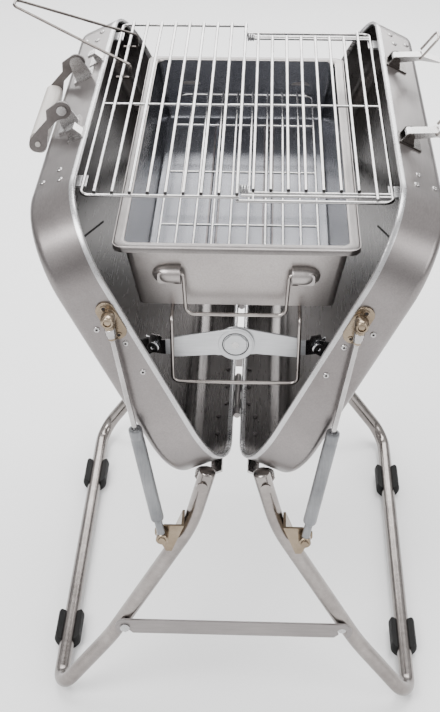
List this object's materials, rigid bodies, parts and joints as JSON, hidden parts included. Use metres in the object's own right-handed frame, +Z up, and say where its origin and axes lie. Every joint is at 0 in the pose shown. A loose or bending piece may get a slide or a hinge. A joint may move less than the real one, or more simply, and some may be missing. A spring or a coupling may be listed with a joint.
{
  "type": "folding camp grill",
  "caption": "Two hinged steel cases stand open in a V on folding tube legs and hold a charcoal pan under a sliding wire grate.",
  "frame": {"origin": "on the floor, midway across the whole grill's width and depth", "axes": "+Z up; +X to the right when facing the carrying side's front, across the V; +Y to the rear, along the case hinge"},
  "size_m": [0.5176, 0.633, 0.7617],
  "materials": {
    "steel": "brushed stainless",
    "plated": "bright plated steel",
    "tube": "satin stainless tube",
    "gold": "pale yellow zinc",
    "silver": "silver paint",
    "rod": "ground chrome",
    "wire": "bright plated wire",
    "gunmetal": "dark gunmetal",
    "grip": "light moulded plastic",
    "rubber": "black rubber"
  },
  "bodies": {
    "hinge": {"hinge_pins": "plated"},
    "case_left": {"left_shell": "steel", "hinge_leaves_left": "plated", "rivets_left": "plated", "leg_brackets_left": "plated", "leg_pins_left": "plated", "ball_plates_left": "gold", "spreader_brackets_left": "plated", "grate_ledges_left": "plated", "handle_bases": "plated", "latch_strikes": "plated"},
    "case_right": {"right_shell": "steel", "hinge_leaves_right": "plated", "rivets_right": "plated", "leg_brackets_right": "plated", "leg_pins_right": "plated", "ball_plates_right": "gold", "spreader_brackets_right": "plated", "grate_ledges_right": "plated", "latch_bases": "plated"},
    "leg_left": {"leg_frame_left": "tube", "foot_pads_left": "rubber", "strut_brackets_left": "gold", "crossbar_pins_left": "plated"},
    "leg_right": {"leg_frame_right": "tube", "foot_pads_right": "rubber", "strut_brackets_right": "gold", "crossbar_pins_right": "plated"},
    "crossbar_front": {"crossbar_front": "steel"},
    "rod_front_left": {"strut_rod_front_left": "rod"},
    "cylinder_front_left": {"strut_cylinder_front_left": "silver"},
    "arm_front_left": {"spreader_arm_front_left": "plated", "spreader_hub_front": "plated"},
    "rod_front_right": {"strut_rod_front_right": "rod"},
    "cylinder_front_right": {"strut_cylinder_front_right": "silver"},
    "arm_front_right": {"spreader_arm_front_right": "plated"},
    "bail_front": {"pan_bail_front": "wire"},
    "lever_front": {"latch_lever_front": "plated"},
    "hook_front": {"latch_hook_front": "wire"},
    "crossbar_rear": {"crossbar_rear": "steel"},
    "rod_rear_left": {"strut_rod_rear_left": "rod"},
    "cylinder_rear_left": {"strut_cylinder_rear_left": "silver"},
    "arm_rear_left": {"spreader_arm_rear_left": "plated", "spreader_hub_rear": "plated"},
    "rod_rear_right": {"strut_rod_rear_right": "rod"},
    "cylinder_rear_right": {"strut_cylinder_rear_right": "silver"},
    "arm_rear_right": {"spreader_arm_rear_right": "plated"},
    "bail_rear": {"pan_bail_rear": "wire"},
    "lever_rear": {"latch_lever_rear": "plated"},
    "hook_rear": {"latch_hook_rear": "wire"},
    "pan": {"charcoal_pan": "steel", "charcoal_grid": "wire", "pan_cradle_front": "wire", "pan_cradle_rear": "wire"},
    "grate": {"grate_left_half": "wire"},
    "grate_slider": {"grate_right_half": "wire"},
    "lift_handle": {"grate_lift_handle": "wire"},
    "carry_handle": {"handle_arms": "gunmetal", "handle_grip": "grip"}
  },
  "joints": [
    {"name": "left_case_fold", "type": "hinge", "parent": "hinge", "child": "case_left", "pos_m": [0.02185, 0, 0.3715], "axis": [0, 1, 0], "range_deg": [0, 25.5]},
    {"name": "right_case_fold", "type": "hinge", "parent": "hinge", "child": "case_right", "pos_m": [0.02185, 0, 0.3715], "axis": [0, 1, 0], "range_deg": [-26, 0.5]},
    {"name": "pan_lift", "type": "slide", "parent": "hinge", "child": "pan", "axis": [0, 0, 1], "range_m": [0, 0.56]},
    {"name": "spreader_front_left", "type": "hinge", "parent": "case_left", "child": "arm_front_left", "pos_m": [-0.06613, -0.2527, 0.52899], "axis": [0, -1, 0], "range_deg": [-0.5, 104.59]},
    {"name": "spreader_front_right", "type": "hinge", "parent": "case_right", "child": "arm_front_right", "pos_m": [0.10983, -0.2527, 0.52899], "axis": [0, 1, 0], "range_deg": [-0.5, 104.59]},
    {"name": "spreader_rear_left", "type": "hinge", "parent": "case_left", "child": "arm_rear_left", "pos_m": [-0.06613, 0.2527, 0.52899], "axis": [0, -1, 0], "range_deg": [-0.5, 104.59]},
    {"name": "spreader_rear_right", "type": "hinge", "parent": "case_right", "child": "arm_rear_right", "pos_m": [0.10983, 0.2527, 0.52899], "axis": [0, 1, 0], "range_deg": [-0.5, 104.59]},
    {"name": "left_leg_fold", "type": "hinge", "parent": "case_left", "child": "leg_left", "pos_m": [-0.01415, 0, 0.3605], "axis": [0, 1, 0], "range_deg": [0, 75]},
    {"name": "strut_tilt_front_left", "type": "hinge", "parent": "case_left", "child": "rod_front_left", "pos_m": [-0.10543, -0.309, 0.59744], "axis": [0, 1, 0], "range_deg": [-0.5, 1.67]},
    {"name": "strut_stroke_front_left", "type": "slide", "parent": "rod_front_left", "child": "cylinder_front_left", "axis": [-0.1615, 0, 0.9869], "range_m": [-0.001, 0.08378]},
    {"name": "strut_tilt_rear_left", "type": "hinge", "parent": "case_left", "child": "rod_rear_left", "pos_m": [-0.10543, 0.309, 0.59744], "axis": [0, 1, 0], "range_deg": [-0.5, 1.67]},
    {"name": "strut_stroke_rear_left", "type": "slide", "parent": "rod_rear_left", "child": "cylinder_rear_left", "axis": [-0.1615, 0, 0.9869], "range_m": [-0.001, 0.08378]},
    {"name": "right_leg_fold", "type": "hinge", "parent": "case_right", "child": "leg_right", "pos_m": [0.05785, 0, 0.3605], "axis": [0, -1, 0], "range_deg": [0, 75]},
    {"name": "strut_tilt_front_right", "type": "hinge", "parent": "case_right", "child": "rod_front_right", "pos_m": [0.14913, -0.309, 0.59744], "axis": [0, -1, 0], "range_deg": [-0.5, 1.67]},
    {"name": "strut_stroke_front_right", "type": "slide", "parent": "rod_front_right", "child": "cylinder_front_right", "axis": [0.1615, 0, 0.9869], "range_m": [-0.001, 0.08378]},
    {"name": "strut_tilt_rear_right", "type": "hinge", "parent": "case_right", "child": "rod_rear_right", "pos_m": [0.14913, 0.309, 0.59744], "axis": [0, -1, 0], "range_deg": [-0.5, 1.67]},
    {"name": "strut_stroke_rear_right", "type": "slide", "parent": "rod_rear_right", "child": "cylinder_rear_right", "axis": [0.1615, 0, 0.9869], "range_m": [-0.001, 0.08378]},
    {"name": "crossbar_front_swing", "type": "hinge", "parent": "leg_left", "child": "crossbar_front", "pos_m": [-0.10915, -0.2855, 0.1425], "axis": [0, -1, 0], "range_deg": [0, 25]},
    {"name": "pan_bail_front_swing", "type": "hinge", "parent": "pan", "child": "bail_front", "pos_m": [0.02185, -0.245, 0.615], "axis": [-1, 0, 0], "range_deg": [0, 80]},
    {"name": "latch_lever_front_swing", "type": "hinge", "parent": "case_right", "child": "lever_front", "pos_m": [0.20337, -0.106, 0.71116], "axis": [0, -1, 0], "range_deg": [0, 40]},
    {"name": "latch_hook_front_swing", "type": "hinge", "parent": "lever_front", "child": "hook_front", "pos_m": [0.23149, -0.106, 0.71437], "axis": [0, 1, 0], "range_deg": [-25, 60]},
    {"name": "crossbar_rear_swing", "type": "hinge", "parent": "leg_left", "child": "crossbar_rear", "pos_m": [-0.10915, 0.2855, 0.1425], "axis": [0, -1, 0], "range_deg": [0, 25]},
    {"name": "pan_bail_rear_swing", "type": "hinge", "parent": "pan", "child": "bail_rear", "pos_m": [0.02185, 0.245, 0.615], "axis": [1, 0, 0], "range_deg": [0, 80]},
    {"name": "latch_lever_rear_swing", "type": "hinge", "parent": "case_right", "child": "lever_rear", "pos_m": [0.20337, 0.106, 0.71116], "axis": [0, -1, 0], "range_deg": [0, 40]},
    {"name": "latch_hook_rear_swing", "type": "hinge", "parent": "lever_rear", "child": "hook_rear", "pos_m": [0.23149, 0.106, 0.71437], "axis": [0, 1, 0], "range_deg": [-25, 60]},
    {"name": "grate_lift_off", "type": "slide", "parent": "pan", "child": "grate", "axis": [0, 0, 1], "range_m": [0, 0.12]},
    {"name": "grate_half_slide", "type": "slide", "parent": "grate", "child": "grate_slider", "axis": [-1, 0, 0], "range_m": [0, 0.115]},
    {"name": "lift_handle_swing", "type": "hinge", "parent": "grate", "child": "lift_handle", "pos_m": [-0.12215, 0.124, 0.7026], "axis": [0, 1, 0], "range_deg": [0, 40]},
    {"name": "carry_handle_swing", "type": "hinge", "parent": "case_left", "child": "carry_handle", "pos_m": [-0.17524, 0, 0.71593], "axis": [0, 1, 0], "range_deg": [0, 95]}
  ],
  "couplings": [
    {"joint": "right_case_fold", "follows": "left_case_fold", "ratio": -1},
    {"joint": "pan_lift", "follows": "left_case_fold", "m_per_rad": 1.2},
    {"joint": "spreader_front_left", "follows": "left_case_fold", "ratio": 4.082},
    {"joint": "spreader_front_right", "follows": "left_case_fold", "ratio": 4.082},
    {"joint": "spreader_rear_left", "follows": "left_case_fold", "ratio": 4.082},
    {"joint": "spreader_rear_right", "follows": "left_case_fold", "ratio": 4.082},
    {"joint": "strut_tilt_front_left", "follows": "left_leg_fold", "ratio": 0.015638},
    {"joint": "strut_stroke_front_left", "follows": "left_leg_fold", "m_per_rad": 0.063239},
    {"joint": "strut_tilt_rear_left", "follows": "left_leg_fold", "ratio": 0.015638},
    {"joint": "strut_stroke_rear_left", "follows": "left_leg_fold", "m_per_rad": 0.063239},
    {"joint": "strut_tilt_front_right", "follows": "right_leg_fold", "ratio": 0.015638},
    {"joint": "strut_stroke_front_right", "follows": "right_leg_fold", "m_per_rad": 0.063239},
    {"joint": "strut_tilt_rear_right", "follows": "right_leg_fold", "ratio": 0.015638},
    {"joint": "strut_stroke_rear_right", "follows": "right_leg_fold", "m_per_rad": 0.063239}
  ]
}
